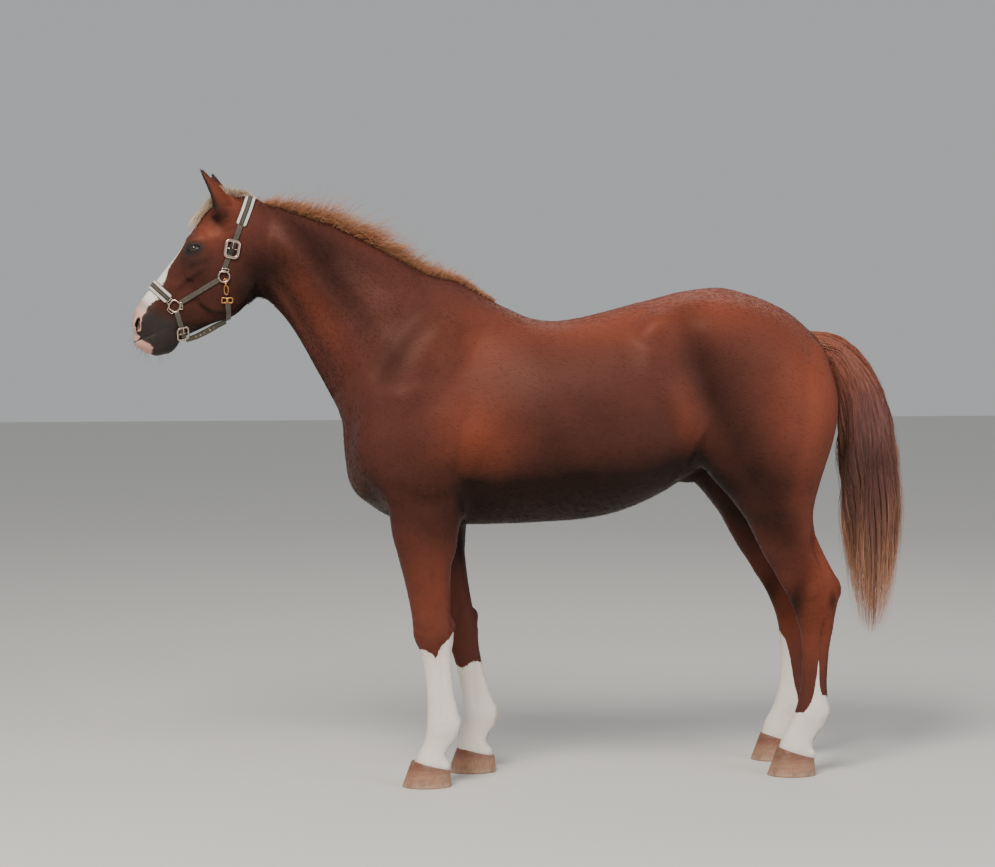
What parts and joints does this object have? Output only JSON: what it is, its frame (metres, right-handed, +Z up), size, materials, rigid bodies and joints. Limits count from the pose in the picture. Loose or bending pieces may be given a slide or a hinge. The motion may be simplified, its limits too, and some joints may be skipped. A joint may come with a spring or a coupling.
{
  "type": "horse",
  "caption": "Life-size chestnut riding horse standing still in an open stance, with white stockings, a blaze, a short mane, a full tail and a padded stable halter.",
  "frame": {"origin": "on the floor, at the middle of the horse's length and width", "axes": "+X from nose to tail, -Y on the horse's left side, +Z up"},
  "size_m": [2.5828, 0.626, 2.0062],
  "materials": {
    "coat": "short sleek chestnut hair with white and dark points, a soft gloss",
    "horn": "ribbed hoof horn, satin, paler towards the ground",
    "eye": "wet dark brown eye, polished",
    "mane_hair": "coarse flaxen-chestnut hair",
    "tail_hair": "long red-brown hair with flaxen streaks, soft gloss",
    "webbing": "woven taupe webbing with dark edges and pale padded trim",
    "nickel": "polished plated metal with light wear",
    "brass": "cast brass, softly polished"
  },
  "bodies": {
    "root": {"barrel": "coat", "chest": "coat", "ear_left": "coat", "ear_right": "coat", "eye_left": "eye", "eye_right": "eye", "fore_left_cannon": "coat", "fore_left_forearm": "coat", "fore_left_hoof": "horn", "fore_left_pastern": "coat", "fore_right_cannon": "coat", "fore_right_forearm": "coat", "fore_right_hoof": "horn", "fore_right_pastern": "coat", "forelock": "mane_hair", "halter_buckle": "nickel", "halter_cheek_left": "webbing", "halter_cheek_right": "webbing", "halter_chin": "webbing", "halter_chin_buckle": "nickel", "halter_crown": "webbing", "halter_fitting": "brass", "halter_jaw": "webbing", "halter_nose": "webbing", "halter_ring_jaw_left": "nickel", "halter_ring_jaw_right": "nickel", "halter_ring_nose_left": "nickel", "halter_ring_nose_right": "nickel", "halter_side_left": "webbing", "halter_side_right": "webbing", "halter_snap": "brass", "halter_throat": "webbing", "head": "coat", "hind_left_cannon": "coat", "hind_left_gaskin": "coat", "hind_left_hoof": "horn", "hind_left_pastern": "coat", "hind_right_cannon": "coat", "hind_right_gaskin": "coat", "hind_right_hoof": "horn", "hind_right_pastern": "coat", "hindquarters": "coat", "mane": "mane_hair", "neck": "coat", "tail_dock": "tail_hair", "tail_lower": "tail_hair", "tail_upper": "tail_hair"}
  },
  "joints": []
}
